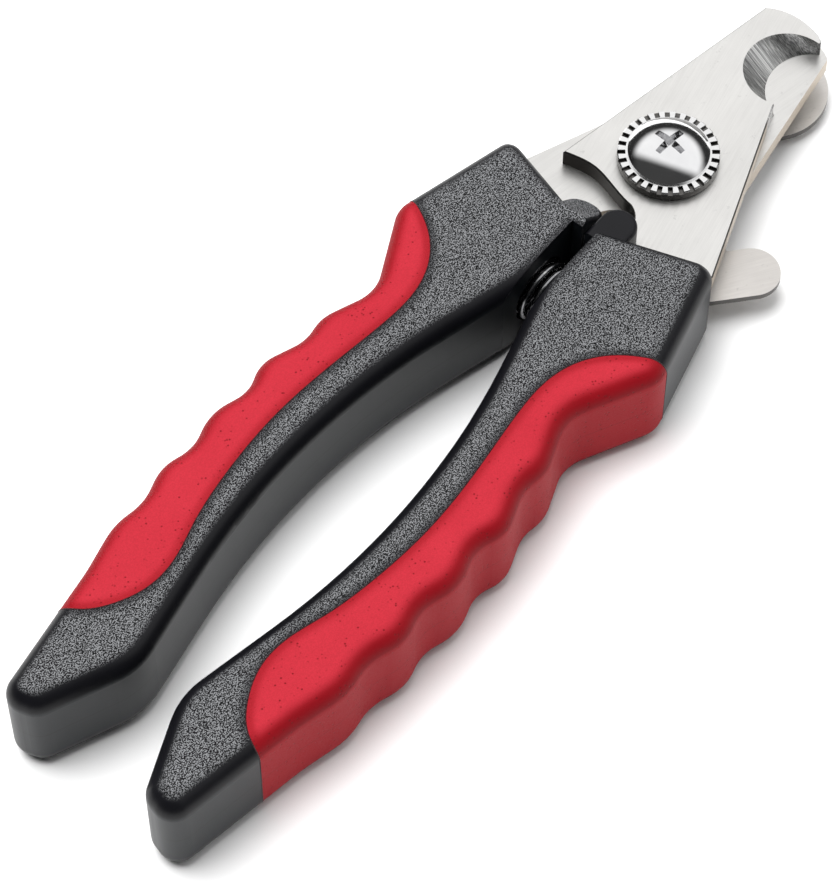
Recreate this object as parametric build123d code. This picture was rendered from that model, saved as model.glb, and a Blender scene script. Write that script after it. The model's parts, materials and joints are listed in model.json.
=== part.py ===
from build123d import *
import math
import os

# Scissor nail clipper for pets, lying on its side, jaws closed.
# Design frame: x runs along the tool with the jaws at +x, y is positive on
# the left handle, z is up, and the jaw pivot stands at x = 0, y = 0.
# The written parts are shifted along x so that the tool is centred on the
# origin. It lies on z = 0.

# ---- overall sizes, mm ----
HANDLE_THICK = 17.0
MID_Z = HANDLE_THICK / 2
EDGE_ROUND = 3.0

# ---- handle plan, left side (the right side is its mirror) ----
FLAT_Y = 2.0
FRONT_INNER = (-19.2, FLAT_Y)
FRONT_OUTER = (-13.8, 18.6)
FRONT_CORNER_ROUND = 1.8
FLAT_END = (-36.4, FLAT_Y)
# corners of the wall as x, y and the radius that rounds them: the shoulder,
# the finger scallops, the tail, the bend of the tail and the long palm curve
WALL = [
    (-33.6, 23.6, 4.5), (-46.6, 17.0, 7.0), (-55.0, 20.3, 7.0), (-59.3, 19.5, 7.0),
    (-66.2, 22.1, 5.8), (-70.7, 20.2, 6.0), (-76.8, 22.2, 8.5), (-82.6, 20.2, 7.5),
    (-87.6, 21.8, 7.5), (-93.4, 19.8, 9.5), (-98.6, 20.75, 11.5), (-106.4, 18.8, 25.0),
    (-128.6, 15.1, 3.1), (-127.0, 9.3, 3.3), (-112.9, 3.3, 12.0), (-71.4, 11.33, 115.0),
]
NOSE_X = -16.6
NOSE_Y = 3.1
NOSE_R = 2.85
NOSE_LOW = 3.4
NOSE_HIGH = 16.2
NOSE_ROUND = 0.8
NOSE_ROOT_X = -20.6
# the left nose slopes down from the handle's top to its tip
SLOPE_START = (-19.2, HANDLE_THICK)
SLOPE_END = (-13.4, 12.0)

# ---- red grip ----
GRIP_LINE = [
    (-31.3, 23.4), (-32.9, 19.8), (-35.4, 16.2), (-39.4, 13.2), (-44.4, 11.75),
    (-50.4, 11.8), (-59.4, 12.9), (-72.4, 13.9), (-84.4, 13.0), (-92.4, 11.4),
    (-98.4, 9.75), (-103.4, 9.7), (-108.4, 11.6), (-111.8, 14.3), (-113.3, 17.9),
]
GRIP_OUTSIDE_Y = 30.0
RIB_INSET = 3.2
RIB_LOW = 5.4
RIB_HIGH = HANDLE_THICK - RIB_LOW

# ---- blades (the upper one is drawn; the lower one is its mirror) ----
BLADE_THICK = 2.96
BLADE_GAP = 0.04
UPPER_Z = MID_Z + BLADE_GAP / 2
LOWER_Z = MID_Z - BLADE_GAP / 2 - BLADE_THICK
BLADE_TOP = UPPER_Z + BLADE_THICK
NOTCH_FACE = (24.3, -3.8, 6.8)
NOTCH_EDGE = (25.2, -8.2, 7.35)
BLADE_CORNER = (-8.7, 12.6)
TIP_CORNER = (31.6, 5.9)
HOOK_END = (31.5, -4.5)
BLADE_HEEL = (17.6, -6.0)
BLADE_CHAMFER = 0.2
FRONT_CURVE = [(32.7, 3.8), (33.15, 0.8), (32.9, -1.4), (32.3, -3.5)]
BACK_CURVE = [(-8.6, 4.4), (-7.9, 7.9), (-8.1, 10.0)]
BLADE_NECK = (-12.0, -3.0)
NECK_CURVE = (-10.8, -2.1)
BACK_START = (-10.0, -0.8)
TANG_SHOULDER = (-12.4, -17.6)
TANG_CORNER = (-16.5, -17.4)
TANG_ROOT = (-21.0, -9.3)
TANG_END_X = -39.0
TANG_END_Y = (-15.4, -9.6)
NOTCH_OVERRUN = 0.6
JAW_LEAN = -0.9

# ---- pivot stack ----
SHANK_R = 2.5
SLEEVE_R = 3.5
RUNNING = 0.05
WASHER_R = 7.5
WASHER_TOP = BLADE_TOP + 1.75
TEETH = 28
TOOTH_GAP = 0.75
TOOTH_DEPTH = 0.5
TOOTH_ROOT_R = 6.3
HEAD_R = 6.0
HEAD_RISE = 2.4
HEAD_RIM = 0.35
RECESS_TURN = -6.0
RECESS_LONG = 5.4
RECESS_WIDE = 1.2
RECESS_DEEP = 1.9
GUARD_THICK = 1.0
GUARD_TOP = LOWER_Z - 0.1
GUARD_LOW = GUARD_TOP - GUARD_THICK
TONGUE_DROP = 2.7
TONGUE_X = 25.3
TONGUE_R = 9.1
GUARD_NECK = [(0, 6.5), (16, 5.4), (TONGUE_X, 9.0)]
STEP_X = (9.0, 12.5)
TAB_TIP = (-4.8, -19.2)
TAB_ROOT = (-9.6, -14.9)
TAB_R = 4.15
GUARD_RING_R = 7.2
WAVE_TOP = GUARD_LOW - 0.08
WAVE_THICK = 0.6
NUT_TOP = WAVE_TOP - WAVE_THICK
NUT_THICK = 2.6
NUT_FLATS = 8.0
WAVE_R = 5.0

# ---- handle fastenings ----
PIN_R = 1.5
PIN_PLACES = [(-22.9, 13.2), (-34.9, 12.3)]
PIN_LOW = 3.6
PIN_HIGH = HANDLE_THICK - PIN_LOW

# ---- return spring ----
SPRING_X = -28.1
SPRING_R = 4.5
WIRE_R = 0.5
SPRING_HALF = 7.9
SPRING_TURNS = 11
POCKET_R = 5.25
POCKET_Y = 8.2
POST_R = 3.3
POST_Y = 4.4

# ---- handle lock ----
LUG_X = (-27.9, -24.9)
LUG_Y = (-9.0, 10.4)
LUG_Z = (1.1, 2.3)
NOTCH_Y = (6.8, 9.2)
NOTCH_DEPTH = 1.3
BOLT_Y = (7.2, 8.8)
BOLT_X = (-34.4, -29.3)
PAD_X = (-40.4, -33.8)
PAD_Y = (6.2, 9.8)
FLANGE_Y = (5.4, 10.6)
PAD_LOW = 0.4
FLANGE_LOW = 1.4
LOCK_STROKE = 2.4
POCKET_TOP = 2.7
SIDE_GAP = 0.3
PAD_RIBS = 5
RIB_SIZE = 0.5


def block(xs, ys, zs):
    """A box between the given limits along each axis."""
    size = (xs[1] - xs[0], ys[1] - ys[0], zs[1] - zs[0])
    middle = ((xs[0] + xs[1]) / 2, (ys[0] + ys[1]) / 2, (zs[0] + zs[1]) / 2)
    return Pos(*middle) * Box(*size)


def rod(x, y, radius, low, high):
    """An upright cylinder between two heights."""
    return Pos(x, y, (low + high) / 2) * Cylinder(radius, high - low)


def rod_y(x, z, radius, low, high):
    """A cylinder along y between two places."""
    turned = Pos(x, (low + high) / 2, z) * Rot(90, 0, 0)
    return turned * Cylinder(radius, high - low)


def prism(edges, low, high):
    """Extrude a closed plan outline between two heights."""
    return Pos(0, 0, low) * extrude(make_face(edges), high - low)


def mirrored(shape):
    """The same piece on the other handle."""
    return mirror(shape, about=Plane.XZ)


def handle_edges():
    """Plan outline of the left handle."""
    corners = [(x, y) for x, y, r in WALL]
    rounds = [r for x, y, r in WALL]
    wall = FilletPolyline(FRONT_OUTER, *corners, FLAT_END, radius=rounds)
    return [*wall.edges(), Line(FLAT_END, FRONT_INNER), Line(FRONT_INNER, FRONT_OUTER)]


def is_level(edge):
    """True for an edge that lies in a top or bottom face."""
    box = edge.bounding_box()
    return box.max.Z - box.min.Z < 0.01


def is_crisp(edge):
    """True for an edge of the spring flat or of the front face."""
    spot = edge.center()
    on_flat = abs(spot.Y - FLAT_Y) < 0.01 and spot.X > FLAT_END[0]
    return on_flat or spot.X > FRONT_INNER[0]


def handle_solid():
    """The whole left handle, before it is split into its pieces."""
    body = prism(handle_edges(), 0, HANDLE_THICK)
    level = [e for e in body.edges() if is_level(e)]
    body = fillet([e for e in level if not is_crisp(e)], EDGE_ROUND)
    front = body.faces().sort_by(Axis.X)[-1]
    outer = [e for e in front.edges() if e.center().Y > FRONT_OUTER[1] - EDGE_ROUND]
    return fillet(outer, FRONT_CORNER_ROUND)


def nose_solid(high):
    """Stop that stands forward of a handle's front face, on its inner side."""
    length = NOSE_X - NOSE_ROOT_X
    plan = Pos(NOSE_X, NOSE_Y) * Circle(NOSE_R)
    plan += Pos(NOSE_X - length / 2, NOSE_Y) * Rectangle(length, 2 * NOSE_R)
    return extrude(Pos(0, 0, NOSE_LOW) * plan, high - NOSE_LOW)


def left_nose():
    """The left stop: its top slopes down to the tip."""
    run = SLOPE_END[0] - SLOPE_START[0]
    fall = SLOPE_START[1] - SLOPE_END[1]
    far = SLOPE_END[0] + run
    low = SLOPE_END[1] - fall
    root_top = (NOSE_ROOT_X, HANDLE_THICK)
    side = Polyline((NOSE_ROOT_X, 0), (far, 0), (far, low), SLOPE_START, root_top, (NOSE_ROOT_X, 0))
    wedge = extrude(make_face(Plane.XZ * side), HANDLE_THICK, both=True)
    nose = nose_solid(HANDLE_THICK) & wedge
    slope = [f for f in nose.faces() if 0.2 < f.normal_at().Z < 0.95]
    return fillet(slope[0].edges().sort_by(Axis.X)[-1:], NOSE_ROUND)


def right_nose():
    """The right stop: level on top, a little below the handle."""
    nose = nose_solid(NOSE_HIGH)
    rim = nose.faces().sort_by(Axis.Z)[-1].edges()
    return mirrored(fillet(rim.sort_by(Axis.X)[1:], NOSE_ROUND))


def grip_region():
    """Upright prism that holds everything outside the grip's boundary line."""
    line = Spline(*GRIP_LINE)
    start = GRIP_LINE[0]
    end = GRIP_LINE[-1]
    edges = [
        line,
        Line(end, (end[0], GRIP_OUTSIDE_Y)),
        Line((end[0], GRIP_OUTSIDE_Y), (start[0], GRIP_OUTSIDE_Y)),
        Line((start[0], GRIP_OUTSIDE_Y), start),
    ]
    return prism(edges, -1.0, HANDLE_THICK + 1.0)


def grip_solid(handle):
    """Soft grip: the outside of the handle, keyed over a rib of the core."""
    region = grip_region()
    rib = Pos(0, -RIB_INSET, 0) * prism(handle_edges(), RIB_LOW, RIB_HIGH)
    return (handle & region) - rib


def blade_form():
    """One blade in the upper place, square to the tool: jaw, notch and tang."""
    outer_end = (TANG_END_X, TANG_END_Y[0])
    inner_end = (TANG_END_X, TANG_END_Y[1])
    edges = [
        Line(BLADE_CORNER, TIP_CORNER),
        Spline(TIP_CORNER, *FRONT_CURVE, HOOK_END),
        Line(HOOK_END, BLADE_HEEL),
        Line(BLADE_HEEL, TANG_SHOULDER),
        Line(TANG_SHOULDER, TANG_CORNER),
        Line(TANG_CORNER, outer_end),
        Line(outer_end, inner_end),
        Line(inner_end, TANG_ROOT),
        Line(TANG_ROOT, BLADE_NECK),
        Spline(BLADE_NECK, NECK_CURVE, BACK_START),
        Spline(BACK_START, *BACK_CURVE, BLADE_CORNER),
    ]
    plate = prism(edges, UPPER_Z, BLADE_TOP)
    rims = [e for e in plate.edges() if is_level(e) and e.center().X > -15.0]
    outside = [e for e in rims if e.center().Z > MID_Z + 1.0]
    plate = chamfer(outside, BLADE_CHAMFER)
    return plate - notch_tool() - rod(0, 0, SLEEVE_R, UPPER_Z - 1, BLADE_TOP + 1)


def pin_holes(side):
    """Cutters for the dowel holes through the tang of one handle."""
    holes = [rod(x, side * y, PIN_R, 0, HANDLE_THICK) for x, y in PIN_PLACES]
    return holes[0] + holes[1]


def upper_blade():
    """Blade of the right handle; the jaws lean a little to the right."""
    return Rot(0, 0, JAW_LEAN) * blade_form() - pin_holes(-1)


def notch_tool():
    """Slanted grinding cylinder that cuts the notch and its bevel."""
    steps = [-NOTCH_OVERRUN, BLADE_THICK + NOTCH_OVERRUN]
    rings = []
    for step in steps:
        t = step / BLADE_THICK
        x = NOTCH_EDGE[0] + (NOTCH_FACE[0] - NOTCH_EDGE[0]) * t
        y = NOTCH_EDGE[1] + (NOTCH_FACE[1] - NOTCH_EDGE[1]) * t
        r = NOTCH_EDGE[2] + (NOTCH_FACE[2] - NOTCH_EDGE[2]) * t
        rings.append(Pos(x, y, UPPER_Z + step) * Circle(r))
    return loft(rings)


def lower_blade():
    """Blade of the left handle: the same form turned over."""
    turned = Pos(0, 0, 2 * MID_Z) * (Rot(180, 0, 0) * blade_form())
    bore = rod(0, 0, SLEEVE_R + RUNNING, LOWER_Z - 1, MID_Z)
    return Rot(0, 0, JAW_LEAN) * turned - pin_holes(1) - bore


def serrated_washer():
    """Lock washer with square teeth round its top rim."""
    ring = rod(0, 0, WASHER_R, BLADE_TOP, WASHER_TOP)
    ring = chamfer(ring.edges().filter_by(GeomType.CIRCLE), 0.15)
    ring -= rod(0, 0, SHANK_R, BLADE_TOP - 1, WASHER_TOP + 1)
    length = WASHER_R - TOOTH_ROOT_R + 1
    gap = Pos(TOOTH_ROOT_R + length / 2, 0, WASHER_TOP) * Box(length, TOOTH_GAP, 2 * TOOTH_DEPTH)
    for i in range(TEETH):
        ring -= Rot(0, 0, 360.0 / TEETH * i) * gap
    return ring


def cross_recess():
    """Cross recess that narrows towards its bottom."""
    top = WASHER_TOP + HEAD_RIM + HEAD_RISE + 0.2
    arm = Rectangle(RECESS_LONG, RECESS_WIDE) + Rectangle(RECESS_WIDE, RECESS_LONG)
    tool = extrude(Pos(0, 0, top) * arm, -RECESS_DEEP, taper=14)
    return Rot(0, 0, RECESS_TURN) * tool


def pivot_screw():
    """Domed cross-recess screw that the jaws turn about."""
    rim_top = WASHER_TOP + HEAD_RIM
    ball_r = (HEAD_R ** 2 + HEAD_RISE ** 2) / (2 * HEAD_RISE)
    ball = Pos(0, 0, rim_top + HEAD_RISE - ball_r) * Sphere(ball_r)
    dome = ball & rod(0, 0, HEAD_R, rim_top, rim_top + HEAD_RISE + 1)
    collar = rod(0, 0, HEAD_R, WASHER_TOP, rim_top)
    shank = rod(0, 0, SHANK_R, NUT_TOP - NUT_THICK + 0.2, WASHER_TOP)
    return dome + collar + shank - cross_recess()


def pivot_sleeve():
    """Hardened sleeve, tight in the upper blade, that the lower one turns on."""
    tube = rod(0, 0, SLEEVE_R, LOWER_Z, BLADE_TOP)
    return tube - rod(0, 0, SHANK_R, LOWER_Z - 1, BLADE_TOP + 1)


def guard_plan():
    """Outline of the guard, flat: ring, tongue under the jaws, thumb tab."""
    right_edge = [(x, -y) for x, y in GUARD_NECK]
    neck = Polygon(*right_edge, *reversed(GUARD_NECK), align=None)
    tongue = Pos(TONGUE_X, 0) * Circle(TONGUE_R)
    middle = ((TAB_TIP[0] + TAB_ROOT[0]) / 2, (TAB_TIP[1] + TAB_ROOT[1]) / 2)
    across = (TAB_TIP[0] - TAB_ROOT[0], TAB_TIP[1] - TAB_ROOT[1])
    turn = math.degrees(math.atan2(across[1], across[0]))
    tab = Pos(*middle) * Rot(0, 0, turn) * Rectangle(math.hypot(*across), 2 * TAB_R)
    tab += Pos(*TAB_TIP) * Circle(TAB_R) + Pos(*TAB_ROOT) * Circle(TAB_R)
    reach = math.hypot(*TAB_ROOT)
    arm_turn = math.degrees(math.atan2(TAB_ROOT[1], TAB_ROOT[0]))
    arm = Rot(0, 0, arm_turn) * Pos(reach / 2, 0) * Rectangle(reach, 2 * TAB_R)
    return Circle(GUARD_RING_R) + arm + tab + Rot(0, 0, JAW_LEAN) * (neck + tongue)


def guard_plate():
    """Swivelling nail guard, its tongue stepped down under the jaws."""
    plate = extrude(guard_plan(), 20)
    far = 60.0
    low = GUARD_LOW - TONGUE_DROP
    side = Polyline(
        (-far, GUARD_LOW), (STEP_X[0], GUARD_LOW), (STEP_X[1], low), (far, low),
        (far, low + GUARD_THICK), (STEP_X[1], low + GUARD_THICK),
        (STEP_X[0], GUARD_TOP), (-far, GUARD_TOP), (-far, GUARD_LOW),
    )
    sheet = extrude(make_face(Plane.XZ * side), far / 2, both=True)
    return (plate & sheet) - rod(0, 0, SHANK_R + RUNNING, 0, MID_Z)


def guard_spring_washer():
    """Dished washer that holds the guard by friction."""
    low = WAVE_TOP - WAVE_THICK
    ring = rod(0, 0, WAVE_R, low, WAVE_TOP)
    ring = chamfer(ring.edges().filter_by(GeomType.CIRCLE).sort_by(Axis.Z)[:1], 0.3)
    return ring - rod(0, 0, SHANK_R, low - 1, WAVE_TOP + 1)


def pivot_nut():
    """Hexagon nut under the guard."""
    nut = extrude(RegularPolygon(NUT_FLATS / 2, 6, major_radius=False), NUT_THICK)
    cone = Cone(NUT_FLATS / 2 + 2.6, NUT_FLATS / 2 + 0.1, NUT_THICK * 1.2)
    nut &= Pos(0, 0, NUT_THICK / 2) * Rot(180, 0, 0) * cone
    nut = Pos(0, 0, NUT_TOP - NUT_THICK) * nut
    return nut - rod(0, 0, SHANK_R, NUT_TOP - NUT_THICK - 1, NUT_TOP + 1)


def tang_pins(side):
    """Two dowels that key one tang to both shells of its handle."""
    pins = [rod(x, side * y, PIN_R, PIN_LOW, PIN_HIGH) for x, y in PIN_PLACES]
    return pins[0] + pins[1]


def return_spring():
    """Compression spring that opens the handles."""
    pitch = 2 * (SPRING_HALF - WIRE_R) / SPRING_TURNS
    height = pitch * SPRING_TURNS
    path = Helix(pitch, height, SPRING_R)
    wire = sweep(Plane(path @ 0, z_dir=path % 0) * Circle(WIRE_R), path, is_frenet=True)
    return Pos(SPRING_X, height / 2, MID_Z) * Rot(90, 0, 0) * wire


def spring_pocket():
    """Round pocket in the inner flat of a handle, with a post for the coil."""
    hole = rod_y(SPRING_X, MID_Z, POCKET_R, FLAT_Y - 1.5, POCKET_Y)
    return hole - rod_y(SPRING_X, MID_Z, POST_R, POST_Y, POCKET_Y + 1)


def lock_lug():
    """Steel lug on the right handle that the lock bolt drops into."""
    plate = block(LUG_X, LUG_Y, LUG_Z)
    plate -= block((LUG_X[0] - 1, LUG_X[0] + NOTCH_DEPTH), NOTCH_Y, (0, 4))
    return plate


def lock_slide():
    """Thumb slide under the left handle, with a bolt and ribbed pad."""
    bolt = block(BOLT_X, BOLT_Y, LUG_Z)
    flange = block(PAD_X, FLANGE_Y, (FLANGE_LOW, LUG_Z[1]))
    pad = block(PAD_X, PAD_Y, (PAD_LOW, FLANGE_LOW + 0.2))
    slide = bolt + flange + pad
    pitch = (PAD_X[1] - PAD_X[0]) / PAD_RIBS
    valley = Rot(0, 45, 0) * Box(RIB_SIZE, 9, RIB_SIZE)
    for i in range(PAD_RIBS):
        x = PAD_X[0] + pitch * (i + 0.5)
        slide -= Pos(x, (PAD_Y[0] + PAD_Y[1]) / 2, PAD_LOW) * valley
    return slide


def lock_cavity():
    """Room under the left handle for the lug's swing and the slide's stroke."""
    lug_room = block((LUG_X[0] - 2.3, LUG_X[1] + 0.4), (FLAT_Y - 1, LUG_Y[1] + 0.5), (-1, POCKET_TOP))
    bolt_room = block((BOLT_X[0], LUG_X[0]), (NOTCH_Y[0], NOTCH_Y[1]), (0.7, POCKET_TOP))
    travel = (PAD_X[0] - SIDE_GAP, PAD_X[1] + LOCK_STROKE + SIDE_GAP)
    wide = (FLANGE_Y[0] - SIDE_GAP, FLANGE_Y[1] + SIDE_GAP)
    narrow = (PAD_Y[0] - SIDE_GAP, PAD_Y[1] + SIDE_GAP)
    flange_room = block(travel, wide, (FLANGE_LOW - SIDE_GAP, POCKET_TOP))
    pad_room = block(travel, narrow, (-1, POCKET_TOP))
    return lug_room + bolt_room + flange_room + pad_room


def centre_shift(pieces):
    """Move along x that centres the whole tool on the origin."""
    boxes = [piece.bounding_box() for piece in pieces]
    low = min(box.min.X for box in boxes)
    high = max(box.max.X for box in boxes)
    return Pos(-(low + high) / 2, 0, 0)


def main():
    os.makedirs("parts", exist_ok=True)
    top_blade = upper_blade()
    bottom_blade = lower_blade()
    lug = lock_lug()
    left_pins = tang_pins(1)
    right_pins = tang_pins(-1)

    handle = handle_solid()
    left_grip = grip_solid(handle)
    core = handle - left_grip - spring_pocket()
    left_core = core + left_nose()
    right_core = mirrored(core) + right_nose()
    above = block((-200, 100), (-60, 60), (MID_Z, 60))
    below = block((-200, 100), (-60, 60), (-60, MID_Z))

    pieces = {
        "upper_blade": top_blade,
        "lower_blade": bottom_blade,
        "pivot_screw": pivot_screw(),
        "serrated_washer": serrated_washer(),
        "pivot_sleeve": pivot_sleeve(),
        "guard_plate": guard_plate(),
        "guard_spring_washer": guard_spring_washer(),
        "pivot_nut": pivot_nut(),
        "left_upper_shell": (left_core & above) - left_pins,
        "left_lower_shell": (left_core & below) - left_pins - bottom_blade - lock_cavity(),
        "left_grip": left_grip,
        "left_tang_pins": left_pins,
        "right_upper_shell": (right_core & above) - right_pins - top_blade,
        "right_lower_shell": (right_core & below) - right_pins - lug,
        "right_grip": mirrored(left_grip),
        "right_tang_pins": right_pins,
        "return_spring": return_spring(),
        "lock_lug": lug,
        "lock_slide": lock_slide(),
    }
    shift = centre_shift(pieces.values())
    print("shift along x:", round(shift.position.X, 4))
    for name, shape in pieces.items():
        export_step(shift * shape, "parts/" + name + ".step")


main()
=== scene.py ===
import json
import math

import bmesh
import bpy
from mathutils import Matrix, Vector


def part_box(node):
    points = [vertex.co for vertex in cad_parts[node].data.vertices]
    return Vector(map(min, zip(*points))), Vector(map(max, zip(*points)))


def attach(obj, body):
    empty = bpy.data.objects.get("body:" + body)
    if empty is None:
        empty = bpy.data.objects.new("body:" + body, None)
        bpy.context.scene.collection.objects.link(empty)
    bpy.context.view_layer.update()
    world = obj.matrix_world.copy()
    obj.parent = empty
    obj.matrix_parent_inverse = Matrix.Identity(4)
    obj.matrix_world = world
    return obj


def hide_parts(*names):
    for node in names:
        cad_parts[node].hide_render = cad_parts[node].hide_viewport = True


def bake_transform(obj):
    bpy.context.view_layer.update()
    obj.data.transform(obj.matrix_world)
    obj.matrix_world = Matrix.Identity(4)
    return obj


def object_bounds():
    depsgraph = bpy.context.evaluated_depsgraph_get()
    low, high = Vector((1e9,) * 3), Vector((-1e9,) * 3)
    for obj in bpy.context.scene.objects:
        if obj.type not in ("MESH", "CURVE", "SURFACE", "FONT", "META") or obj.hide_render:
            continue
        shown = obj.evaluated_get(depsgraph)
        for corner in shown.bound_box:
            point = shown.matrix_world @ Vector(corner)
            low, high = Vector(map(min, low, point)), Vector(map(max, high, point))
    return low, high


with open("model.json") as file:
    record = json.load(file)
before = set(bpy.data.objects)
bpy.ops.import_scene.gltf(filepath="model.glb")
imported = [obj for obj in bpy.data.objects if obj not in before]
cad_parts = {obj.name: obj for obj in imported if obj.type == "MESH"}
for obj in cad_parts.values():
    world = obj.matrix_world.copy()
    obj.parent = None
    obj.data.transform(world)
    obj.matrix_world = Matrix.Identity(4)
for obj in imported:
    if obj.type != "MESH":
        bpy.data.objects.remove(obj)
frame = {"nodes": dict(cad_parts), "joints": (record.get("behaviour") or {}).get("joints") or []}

MM = 0.001
SCENE = bpy.context.scene
CAD_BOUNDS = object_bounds()
NODES = frame["nodes"]
JOINTS = {joint["name"]: joint for joint in frame["joints"]}
PIVOT = Vector(JOINTS["jaw_pivot"]["pos_m"])

# camera
CAMERA_ELEVATION = math.radians(58.11)
CAMERA_FLAT_FORWARD = Vector((0.780, 0.6257, 0.0))
CAMERA_TARGET = PIVOT + Vector((-63.4, -4.17, 8.5)) * MM
CAMERA_DISTANCE = 511.5 * MM
CAMERA_LENS = 151.9

# return spring
WIRE_R = 0.5 * MM
COIL_TURNS = 11.0
CLOSED_TURNS = 1.0
STEPS_PER_TURN = 40
TURN_SPACING = 1.02

# line round each grip: a dark tube standing in for the shade in the groove
GROOVE_R = 0.13 * MM
GROOVE_SINK = 0.07 * MM
CORNER_ANGLE = math.radians(50)
SHORTEST_EDGE = 0.01 * MM

# stage
FLOOR_REACH = 3.0
FLOOR_GAP = 0.05 * MM
BRIGHT_SIDE = (0.837, 0.253, 0.486)
KEY_OFFSET = Vector((-0.10, 0.35, 1.2))
KEY_SIZE = 1.1
KEY_POWER = 23.0


# ---------------------------------------------------------------- camera
def make_camera():
    """Long lens on the tool from its right and behind, well above it."""
    level = CAMERA_FLAT_FORWARD.normalized() * math.cos(CAMERA_ELEVATION)
    forward = level - Vector((0, 0, math.sin(CAMERA_ELEVATION)))
    camera = bpy.data.objects.new("camera", bpy.data.cameras.new("camera"))
    camera.data.sensor_width = 36.0
    camera.data.lens = CAMERA_LENS
    camera.data.clip_start = 0.01
    camera.location = CAMERA_TARGET - forward * CAMERA_DISTANCE
    camera.rotation_euler = forward.to_track_quat("-Z", "Y").to_euler()
    SCENE.collection.objects.link(camera)
    SCENE.camera = camera


# ---------------------------------------------------------------- node helper
class Nodes:
    """Short way to build a material's node tree."""

    def __init__(self, name):
        self.material = bpy.data.materials.new(name)
        self.material.use_nodes = True
        self.tree = self.material.node_tree
        self.shader = self.tree.nodes["Principled BSDF"]
        self.place = self.tree.nodes.new("ShaderNodeTexCoord").outputs["Object"]

    def add(self, kind, values=None, links=None, **settings):
        node = self.tree.nodes.new(kind)
        for key, value in settings.items():
            setattr(node, key, value)
        for key, value in (values or {}).items():
            node.inputs[key].default_value = value
        for key, socket in (links or {}).items():
            self.tree.links.new(socket, node.inputs[key])
        return node

    def stretched(self, scale, turn):
        """Object position turned, then scaled along each axis."""
        turned = self.add("ShaderNodeMapping", {"Rotation": turn}, {"Vector": self.place})
        scaled = self.add("ShaderNodeMapping", {"Scale": scale}, {"Vector": turned.outputs[0]})
        return scaled.outputs[0]

    def noise(self, scale, detail, rough, vector=None):
        links = {"Vector": vector or self.place}
        values = {"Scale": scale, "Detail": detail, "Roughness": rough}
        return self.add("ShaderNodeTexNoise", values, links).outputs["Fac"]

    def cells(self, scale):
        """Distance from the nearest of many scattered points."""
        links = {"Vector": self.place}
        return self.add("ShaderNodeTexVoronoi", {"Scale": scale}, links).outputs["Distance"]

    def fit(self, socket, low, high, to_low=0.0, to_high=1.0, smooth=False):
        """Map low..high onto to_low..to_high, held at both ends."""
        kind = "SMOOTHSTEP" if smooth else "LINEAR"
        values = {"From Min": low, "From Max": high, "To Min": to_low, "To Max": to_high}
        node = self.add("ShaderNodeMapRange", values, {"Value": socket}, interpolation_type=kind)
        return node.outputs["Result"]

    def maths(self, operation, first, second):
        node = self.add("ShaderNodeMath", operation=operation)
        for socket, value in zip(node.inputs, (first, second)):
            if isinstance(value, (int, float)):
                socket.default_value = value
            else:
                self.tree.links.new(value, socket)
        return node.outputs[0]

    def axis_of(self, vector, axis):
        return self.add("ShaderNodeSeparateXYZ", links={"Vector": vector}).outputs[axis]

    def size_of(self, socket):
        return self.maths("ABSOLUTE", socket, 0.0)

    def levelness(self):
        """1 on level faces, down to 0 on walls."""
        normal = self.add("ShaderNodeTexCoord").outputs["Normal"]
        return self.size_of(self.axis_of(normal, "Z"))

    def facing_up(self, low, high):
        """Soft step on how level the surface is; a low above the high picks the walls."""
        return self.fit(self.levelness(), low, high, smooth=True)

    def inland(self, reach, low, high):
        """1 well inside a level face, 0 beside its rounded edges."""
        normal = self.add("ShaderNodeBevel", {"Radius": reach}, samples=6).outputs["Normal"]
        return self.fit(self.axis_of(normal, "Z"), low, high, smooth=True)

    def mix(self, factor, first, second):
        """Blend two colours; inputs 6 and 7 are the mix node's colour pair."""
        node = self.add("ShaderNodeMix", data_type="RGBA")
        inputs = node.inputs
        for socket, value in ((inputs["Factor"], factor), (inputs[6], first), (inputs[7], second)):
            if isinstance(value, float):
                socket.default_value = value
            elif isinstance(value, tuple):
                socket.default_value = (*value, 1.0)
            else:
                self.tree.links.new(value, socket)
        return node.outputs[2]

    def bump(self, height, strength, distance, under=None):
        links = {"Height": height}
        if under is not None:
            links["Normal"] = under
        values = {"Strength": strength, "Distance": distance}
        return self.add("ShaderNodeBump", values, links).outputs["Normal"]

    def finish(self, color, rough, normal, **fixed):
        """Wire up the shader and set its uniform values."""
        for key, socket in (("Base Color", color), ("Roughness", rough), ("Normal", normal)):
            self.tree.links.new(socket, self.shader.inputs[key])
        for key, value in fixed.items():
            self.shader.inputs[key.replace("_", " ")].default_value = value
        return self.material


# ---------------------------------------------------------------- materials
def seam_mask(n, half_width):
    """1 on the moulding's parting line, at the handle's half height."""
    height = n.axis_of(n.place, "Z")
    away = n.size_of(n.maths("SUBTRACT", height, PIVOT.z))
    return n.fit(away, half_width, half_width * 0.4, smooth=True)


def handle_skin(n, deep, shallow):
    """1 on the handles' own level faces, 0 a little way below them."""
    low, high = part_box("left_grip")
    middle = (low.z + high.z) / 2
    away = n.size_of(n.maths("SUBTRACT", n.axis_of(n.place, "Z"), middle))
    half = (high.z - low.z) / 2
    return n.fit(away, half - deep, half - shallow)


def nose_slope(n):
    """1 on the sloping top of the left handle's nose."""
    forward = n.fit(n.axis_of(n.place, "X"), PIVOT.x - 20.0 * MM, PIVOT.x - 19.8 * MM)
    inner = n.fit(n.axis_of(n.place, "Y"), 6.6 * MM, 6.3 * MM)
    left = n.fit(n.axis_of(n.place, "Y"), 0.0, 0.1 * MM)
    up = n.facing_up(0.66, 0.74)
    return n.maths("MULTIPLY", n.maths("MULTIPLY", forward, up), n.maths("MULTIPLY", inner, left))


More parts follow.
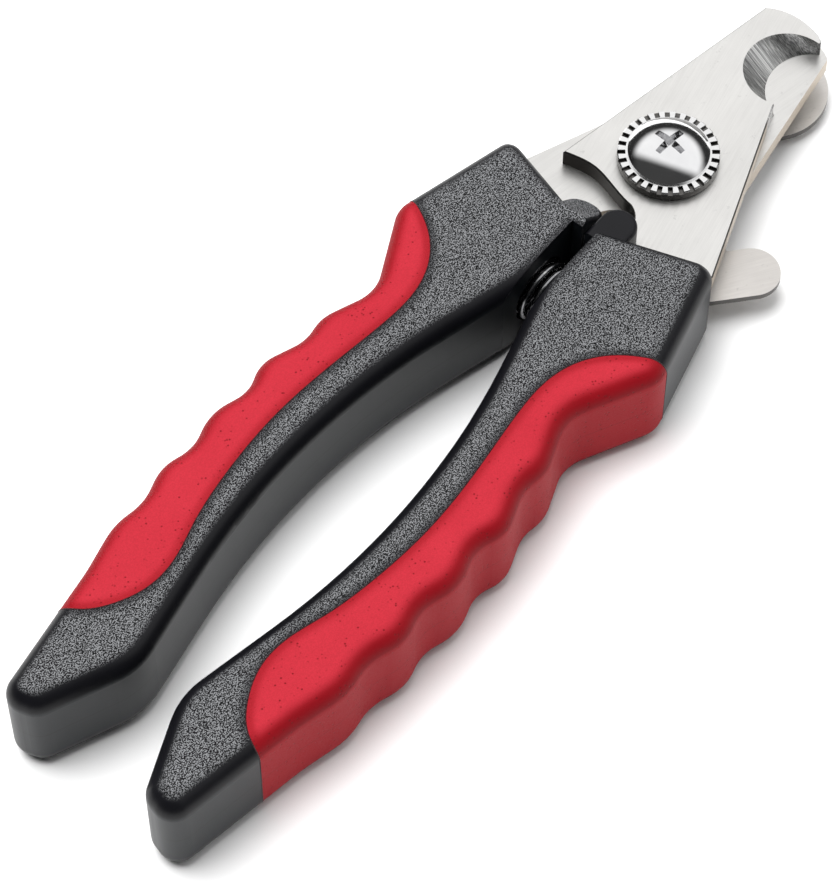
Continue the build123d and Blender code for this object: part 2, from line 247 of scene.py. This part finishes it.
def handle_plastic():
    """Black moulding: spark-eroded grain on the level faces, satin walls, and painted shade on its
    rounded edges.
    """
    n = Nodes("handle_plastic")
    level = n.maths("MULTIPLY", n.facing_up(0.86, 0.95), handle_skin(n, 0.60 * MM, 0.45 * MM))
    level = n.maths("MULTIPLY", level, n.inland(3.0 * MM, 0.88, 0.985))
    level = n.maths("MAXIMUM", level, nose_slope(n))
    flat = n.facing_up(0.34, 0.10)
    grain = n.noise(5600.0, 1.0, 0.5)
    fine = n.noise(7000.0, 1.0, 0.5)
    cloud = n.noise(90.0, 3.0, 0.6)
    speckle = n.fit(grain, 0.485, 0.565)
    top = n.mix(speckle, (0.0015, 0.0015, 0.002), (0.200, 0.204, 0.212))
    side = n.mix(cloud, (0.006, 0.008, 0.010), (0.014, 0.016, 0.019))
    # edge: a darker copy of the wall colour, painted shade on the rounded edges and on the level
    # faces beside them
    edge = n.mix(cloud, (0.003, 0.003, 0.004), (0.006, 0.006, 0.008))
    color = n.mix(level, n.mix(flat, edge, side), top)
    color = n.mix(seam_mask(n, 0.10 * MM), color, (0.002, 0.002, 0.002))
    rough = n.fit(level, 0.0, 1.0, 0.38, 0.58)
    grain_height = n.maths("MULTIPLY", grain, level)
    normal = n.bump(fine, 0.15, 0.04 * MM)
    normal = n.bump(grain_height, 0.8, 0.12 * MM, normal)
    return n.finish(color, rough, normal, Specular_IOR_Level=0.24)


def grip_rubber():
    """Red soft overmould, matt, with a few fine pits; painted light on its level top, painted shade
    on its walls and rounded edges.
    """
    n = Nodes("grip_rubber")
    cloud = n.noise(60.0, 3.0, 0.6)
    fine = n.noise(5200.0, 2.0, 0.6)
    pits = n.cells(1400.0)
    sparse = n.fit(n.noise(420.0, 2.0, 0.5), 0.46, 0.56)
    pit = n.maths("MULTIPLY", n.fit(pits, 0.26, 0.10), sparse)
    # top, side and edge are lit and shaded copies of one red: painted light on the level top,
    # painted shade on the walls, deeper painted shade on the rounded edges
    top = n.mix(cloud, (0.370, 0.014, 0.026), (0.470, 0.026, 0.042))
    side = n.mix(cloud, (0.300, 0.004, 0.010), (0.380, 0.006, 0.013))
    edge = n.mix(cloud, (0.200, 0.002, 0.006), (0.250, 0.003, 0.008))
    top = n.mix(n.fit(fine, 0.40, 0.62), n.mix(0.25, top, (0.20, 0.006, 0.010)), top)
    red = n.mix(n.facing_up(0.34, 0.12), edge, side)
    flat = n.maths("MULTIPLY", n.facing_up(0.72, 0.95), n.inland(3.5 * MM, 0.84, 0.985))
    red = n.mix(flat, red, top)
    # the pits painted darker: painted shade in them
    red = n.mix(pit, red, (0.16, 0.005, 0.008))
    red = n.mix(seam_mask(n, 0.07 * MM), red, (0.20, 0.004, 0.008))
    rough = n.fit(fine, 0.3, 0.7, 0.50, 0.66)
    normal = n.bump(fine, 0.30, 0.05 * MM)
    normal = n.bump(pit, 0.6, -0.08 * MM, normal)
    return n.finish(red, rough, normal, Specular_IOR_Level=0.16)


def brushed(name, tone, rough_range, turn, smudge):
    """Rolled sheet steel with faint lines along one direction."""
    n = Nodes(name)
    lines = n.noise(1.0, 3.0, 0.6, n.stretched((180.0, 7000.0, 7000.0), turn))
    cloud = n.noise(75.0, 4.0, 0.62)
    spots = n.noise(900.0, 2.0, 0.7)
    dark = tuple(c * smudge for c in tone)
    color = n.mix(n.fit(cloud, 0.30, 0.70), dark, tone)
    color = n.mix(n.fit(spots, 0.66, 0.76, 0.0, 0.35), color, tuple(c * 0.6 for c in tone))
    color = n.mix(n.fit(lines, 0.35, 0.65, 0.0, 0.18), color, tuple(c * 0.75 for c in tone))
    rough = n.fit(lines, 0.3, 0.7, *rough_range)
    return n, color, rough, n.bump(lines, 0.10, 0.02 * MM)


def blade_steel(name, side):
    """Satin blade: painted shade on walls facing back and on 45° chamfers, a painted brown
    reflection on walls facing -Y, and grinding marks with painted reflection streaks on the bevel
    of its notch.
    """
    tone = (0.80, 0.79, 0.77)
    n, color, rough, normal = brushed(name, tone, (0.34, 0.46), (0, 0, -0.2 * side), 0.93)
    face = n.add("ShaderNodeTexCoord").outputs["Normal"]
    back_wall_shade = n.fit(n.axis_of(face, "X"), -0.35, -0.60)
    level = n.levelness()
    rim = n.size_of(n.maths("SUBTRACT", level, math.sqrt(0.5)))
    # walls facing back (-X) painted near black: painted shade
    color = n.mix(back_wall_shade, color, (0.07, 0.065, 0.06))
    # walls facing -Y painted brown: painted reflection
    color = n.mix(n.fit(n.axis_of(face, "Y"), -0.55, -0.80), color, (0.44, 0.38, 0.31))
    # faces leaning near 45° (the chamfers) painted dark: painted shade lines along the outline
    color = n.mix(n.fit(rim, 0.10, 0.06), color, (0.12, 0.115, 0.11))
    tool_lean = math.atan2(4.0, 3.0) * side
    ground = n.stretched((9000.0, 9000.0, 60.0), (tool_lean, 0.0, 0.0))
    marks = n.noise(1.0, 2.0, 0.7, ground)
    slanted = n.fit(level, 0.97, 0.85, smooth=True)
    forward = n.fit(n.axis_of(n.place, "X"), PIVOT.x + 14 * MM, PIVOT.x + 15 * MM)
    inside = n.fit(n.maths("MULTIPLY", n.axis_of(n.place, "Y"), side), 4.4 * MM, 3.6 * MM)
    bevel = n.maths("MULTIPLY", n.maths("MULTIPLY", slanted, forward), inside)
    # real grinding marks, drawn as dark and near-white streaks: partly the marks' own tone, partly
    # painted reflection brightening the slanted bevel
    grind_marks_and_sheen = n.mix(n.fit(marks, 0.40, 0.66), (0.28, 0.28, 0.28), (0.98, 0.98, 0.97))
    color = n.mix(bevel, color, grind_marks_and_sheen)
    normal = n.bump(n.maths("MULTIPLY", marks, bevel), 0.5, 0.06 * MM, normal)
    return n.finish(color, rough, normal, Metallic=1.0, Anisotropic=0.3)


def plain_steel(name, tone, rough_range, wall=0.35):
    """Turned or pressed steel, with its walls painted darker as painted shade."""
    n, color, rough, normal = brushed(name, tone, rough_range, (0, 0, 0.6), 0.88)
    # walls painted darker by the factor wall: painted shade
    color = n.mix(n.facing_up(0.75, 0.45), color, tuple(c * wall for c in tone))
    return n.finish(color, rough, normal, Metallic=1.0)


def washer_steel():
    """Bright teeth, with painted shade between them and down the wall."""
    tone = (0.82, 0.82, 0.82)
    n, color, rough, normal = brushed("washer_steel", tone, (0.18, 0.32), (0, 0, 0.6), 0.9)
    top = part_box("serrated_washer")[1].z
    tooth = n.fit(n.axis_of(n.place, "Z"), top - 0.32 * MM, top - 0.14 * MM)
    # below the tips of the teeth: a dark noise-mottled colour, painted shade between the teeth and
    # down the wall
    teeth_gap_shade = n.mix(n.noise(1400.0, 2.0, 0.5), (0.05, 0.048, 0.045), (0.18, 0.175, 0.17))
    color = n.mix(tooth, teeth_gap_shade, color)
    return n.finish(color, rough, normal, Metallic=1.0)


def chrome():
    """Polished head with faint wipe marks."""
    n = Nodes("screw_chrome")
    cloud = n.noise(220.0, 3.0, 0.6)
    scratch = n.noise(1.0, 2.0, 0.6, n.stretched((9000.0, 500.0, 9000.0), (0, 0, 0.5)))
    color = n.mix(cloud, (0.66, 0.66, 0.67), (0.86, 0.86, 0.86))
    rough = n.fit(scratch, 0.4, 0.75, 0.06, 0.14)
    return n.finish(color, rough, n.bump(scratch, 0.03, 0.01 * MM), Metallic=1.0)


def black_wire():
    """Dark glossy spring wire, brighter where its coating is rubbed thin."""
    n = Nodes("spring_black")
    wear = n.noise(900.0, 3.0, 0.6)
    color = n.mix(n.fit(wear, 0.55, 0.68), (0.30, 0.30, 0.31), (0.62, 0.62, 0.62))
    rough = n.fit(wear, 0.3, 0.7, 0.14, 0.30)
    return n.finish(color, rough, n.bump(wear, 0.1, 0.03 * MM), Metallic=1.0)


def painted_groove_shade():
    """Shadowed line between the red grip and the black core."""
    n = Nodes("groove_painted_shade")
    # noise mottling the painted shade
    shade_mottle = n.noise(1500.0, 2.0, 0.5)
    color = n.mix(shade_mottle, (0.012, 0.004, 0.005), (0.05, 0.012, 0.014))
    rough = n.fit(shade_mottle, 0.3, 0.7, 0.55, 0.75)
    return n.finish(color, rough, n.bump(shade_mottle, 0.2, 0.02 * MM))


def floor_paint():
    """Matt white paint."""
    n = Nodes("floor_paint")
    cloud = n.noise(3.0, 2.0, 0.5)
    color = n.mix(cloud, (0.93, 0.93, 0.93), (0.95, 0.95, 0.95))
    rough = n.fit(cloud, 0.3, 0.7, 0.85, 0.95)
    return n.finish(color, rough, n.bump(cloud, 0.02, 0.1 * MM), Specular_IOR_Level=0.1)


def assign(node, material):
    """Give a carried-over part its material."""
    slots = NODES[node].data.materials
    slots.clear()
    slots.append(material)


def dress_parts():
    """One finish for each material of the tool."""
    plastic = handle_plastic()
    rubber = grip_rubber()
    pin = plain_steel("pin_steel", (0.60, 0.60, 0.60), (0.25, 0.40))
    bright = plain_steel("nut_steel", (0.80, 0.80, 0.80), (0.16, 0.30))
    finishes = {
        "left_upper_shell": plastic, "left_lower_shell": plastic,
        "right_upper_shell": plastic, "right_lower_shell": plastic, "lock_slide": plastic,
        "left_grip": rubber, "right_grip": rubber,
        "upper_blade": blade_steel("upper_blade_steel", 1.0),
        "lower_blade": blade_steel("lower_blade_steel", -1.0),
        "guard_plate": plain_steel("guard_steel", (0.74, 0.71, 0.68), (0.34, 0.48), 0.12),
        "serrated_washer": washer_steel(), "pivot_nut": bright, "guard_spring_washer": bright,
        "pivot_sleeve": pin, "lock_lug": pin, "left_tang_pins": pin, "right_tang_pins": pin,
        "pivot_screw": chrome(),
    }
    for node, material in finishes.items():
        assign(node, material)


# ---------------------------------------------------------------- pieces
def new_mesh(name, bm, material, smooth=True):
    """A new object from a bmesh, with one material."""
    mesh = bpy.data.meshes.new(name)
    bm.to_mesh(mesh)
    bm.free()
    for face in mesh.polygons:
        face.use_smooth = smooth
    piece = bpy.data.objects.new(name, mesh)
    piece.data.materials.append(material)
    SCENE.collection.objects.link(piece)
    return piece


def tube(bm, points, radius, sides):
    """Sweep a circle along points, with a frame carried from ring to ring."""
    rings = []
    up = None
    last = len(points) - 1
    for i, point in enumerate(points):
        along = (points[min(i + 1, last)] - points[max(i - 1, 0)]).normalized()
        if up is None:
            up = along.orthogonal().normalized()
        up = (up - along * up.dot(along)).normalized()
        side = along.cross(up)
        ring = []
        for k in range(sides):
            angle = 2 * math.pi * k / sides
            spoke = up * math.cos(angle) + side * math.sin(angle)
            ring.append(bm.verts.new(point + spoke * radius))
        rings.append(ring)
    for first, second in zip(rings, rings[1:]):
        for k in range(sides):
            following = (k + 1) % sides
            bm.faces.new((first[k], first[following], second[following], second[k]))
    bm.faces.new(list(reversed(rings[0])))
    bm.faces.new(rings[-1])


def return_spring():
    """Closed and ground compression coil between the two handles."""
    low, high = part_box("return_spring")
    middle = (low + high) / 2
    radius = (high.x - low.x) / 2 - WIRE_R
    half = (high.y - low.y) / 2 - WIRE_R
    free_half = half - 2 * WIRE_R * CLOSED_TURNS
    free_turns = COIL_TURNS - 2 * CLOSED_TURNS
    closed_pitch = 2 * WIRE_R * TURN_SPACING
    steps = int(COIL_TURNS * STEPS_PER_TURN)
    points = []
    for i in range(steps + 1):
        turn = COIL_TURNS * i / steps
        closed = min(turn, CLOSED_TURNS) - min(COIL_TURNS - turn, CLOSED_TURNS)
        free = min(max(turn - CLOSED_TURNS, 0.0), free_turns) / free_turns
        y = free_half * (2 * free - 1) + closed_pitch * closed / 2
        angle = 2 * math.pi * turn
        points.append(middle + Vector((math.cos(angle) * radius, y, math.sin(angle) * radius)))
    bm = bmesh.new()
    tube(bm, points, WIRE_R, 12)
    piece = new_mesh("coil", bm, black_wire())
    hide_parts("return_spring")
    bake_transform(piece)


def is_outer(point, low, high):
    """True on a grip's outer skin, False on the key hidden inside it."""
    wall = 21.5 * MM if point.x > high.x - 20 * MM else 16.5 * MM
    return point.z > high.z - 5 * MM or point.z < low.z + 5 * MM or abs(point.y) > wall


def groove(node, body):
    """Dark tube, painted shade where the soft grip meets the hard core."""
    low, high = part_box(node)
    source = bmesh.new()
    source.from_mesh(NODES[node].data)
    bmesh.ops.remove_doubles(source, verts=source.verts, dist=1e-6)
    bm = bmesh.new()
    for edge in source.edges:
        if len(edge.link_faces) != 2 or edge.calc_face_angle(0.0) < CORNER_ANGLE:
            continue
        ends = [v.co.copy() for v in edge.verts]
        outside = all(is_outer(p, low, high) for p in ends)
        if not outside or edge.calc_length() < SHORTEST_EDGE:
            continue
        normals = [f.normal for f in edge.link_faces]
        skin = max(normals, key=lambda normal: abs(normal.z) + 0.5 * abs(normal.y))
        tube(bm, [p - skin * GROOVE_SINK for p in ends], GROOVE_R, 6)
    source.free()
    piece = new_mesh("groove_" + node, bm, painted_groove_shade())
    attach(piece, body)


# ---------------------------------------------------------------- stage
def make_stage():
    """Seamless white floor."""
    bm = bmesh.new()
    signs = [(-1, -1), (1, -1), (1, 1), (-1, 1)]
    bm.faces.new([bm.verts.new((x * FLOOR_REACH, y * FLOOR_REACH, 0)) for x, y in signs])
    floor = new_mesh("floor", bm, floor_paint(), smooth=False)
    floor.location.z = -FLOOR_GAP


def area_light(name, place, target, size, power):
    """Round lamp turned towards a target."""
    light = bpy.data.lights.new(name, "AREA")
    light.shape = "DISK"
    light.size = size
    light.energy = power
    lamp = bpy.data.objects.new(name, light)
    lamp.location = place
    lamp.rotation_euler = (Vector(target) - Vector(place)).to_track_quat("-Z", "Y").to_euler()
    SCENE.collection.objects.link(lamp)
    return lamp


def soft_step(tree, socket, low, high, dark, bright):
    """Brightness that goes smoothly from dark to bright."""
    step = tree.nodes.new("ShaderNodeMapRange")
    step.interpolation_type = "SMOOTHSTEP"
    for key, value in (("From Min", low), ("From Max", high), ("To Min", dark), ("To Max", bright)):
        step.inputs[key].default_value = value
    tree.links.new(socket, step.inputs["Value"])
    return step.outputs["Result"]


def make_light():
    """Soft studio light: a surround that is bright high up on one side, and a large key."""
    world = bpy.data.worlds.new("studio")
    SCENE.world = world
    world.use_nodes = True
    tree = world.node_tree
    place = tree.nodes.new("ShaderNodeTexCoord").outputs["Generated"]
    sky = tree.nodes.new("ShaderNodeSeparateXYZ")
    tree.links.new(place, sky.inputs[0])
    side = tree.nodes.new("ShaderNodeVectorMath")
    side.operation = "DOT_PRODUCT"
    side.inputs[1].default_value = BRIGHT_SIDE
    tree.links.new(place, side.inputs[0])
    rise = soft_step(tree, sky.outputs["Z"], 0.26, 0.55, 0.03, 1.0)
    lit = soft_step(tree, side.outputs["Value"], 0.10, 0.40, 0.06, 1.17)
    glow = tree.nodes.new("ShaderNodeMath")
    glow.operation = "MULTIPLY"
    tree.links.new(rise, glow.inputs[0])
    tree.links.new(lit, glow.inputs[1])
    background = tree.nodes["Background"]
    background.inputs["Color"].default_value = (1.0, 1.0, 1.0, 1.0)
    tree.links.new(glow.outputs[0], background.inputs["Strength"])
    middle = (CAD_BOUNDS[0] + CAD_BOUNDS[1]) / 2
    key = area_light("key", middle + KEY_OFFSET, middle, KEY_SIZE, KEY_POWER)
    key.visible_glossy = False
    SCENE.view_settings.view_transform = "Standard"


make_camera()
dress_parts()
return_spring()
groove("left_grip", "left_side")
groove("right_grip", "right_side")
make_stage()
make_light()
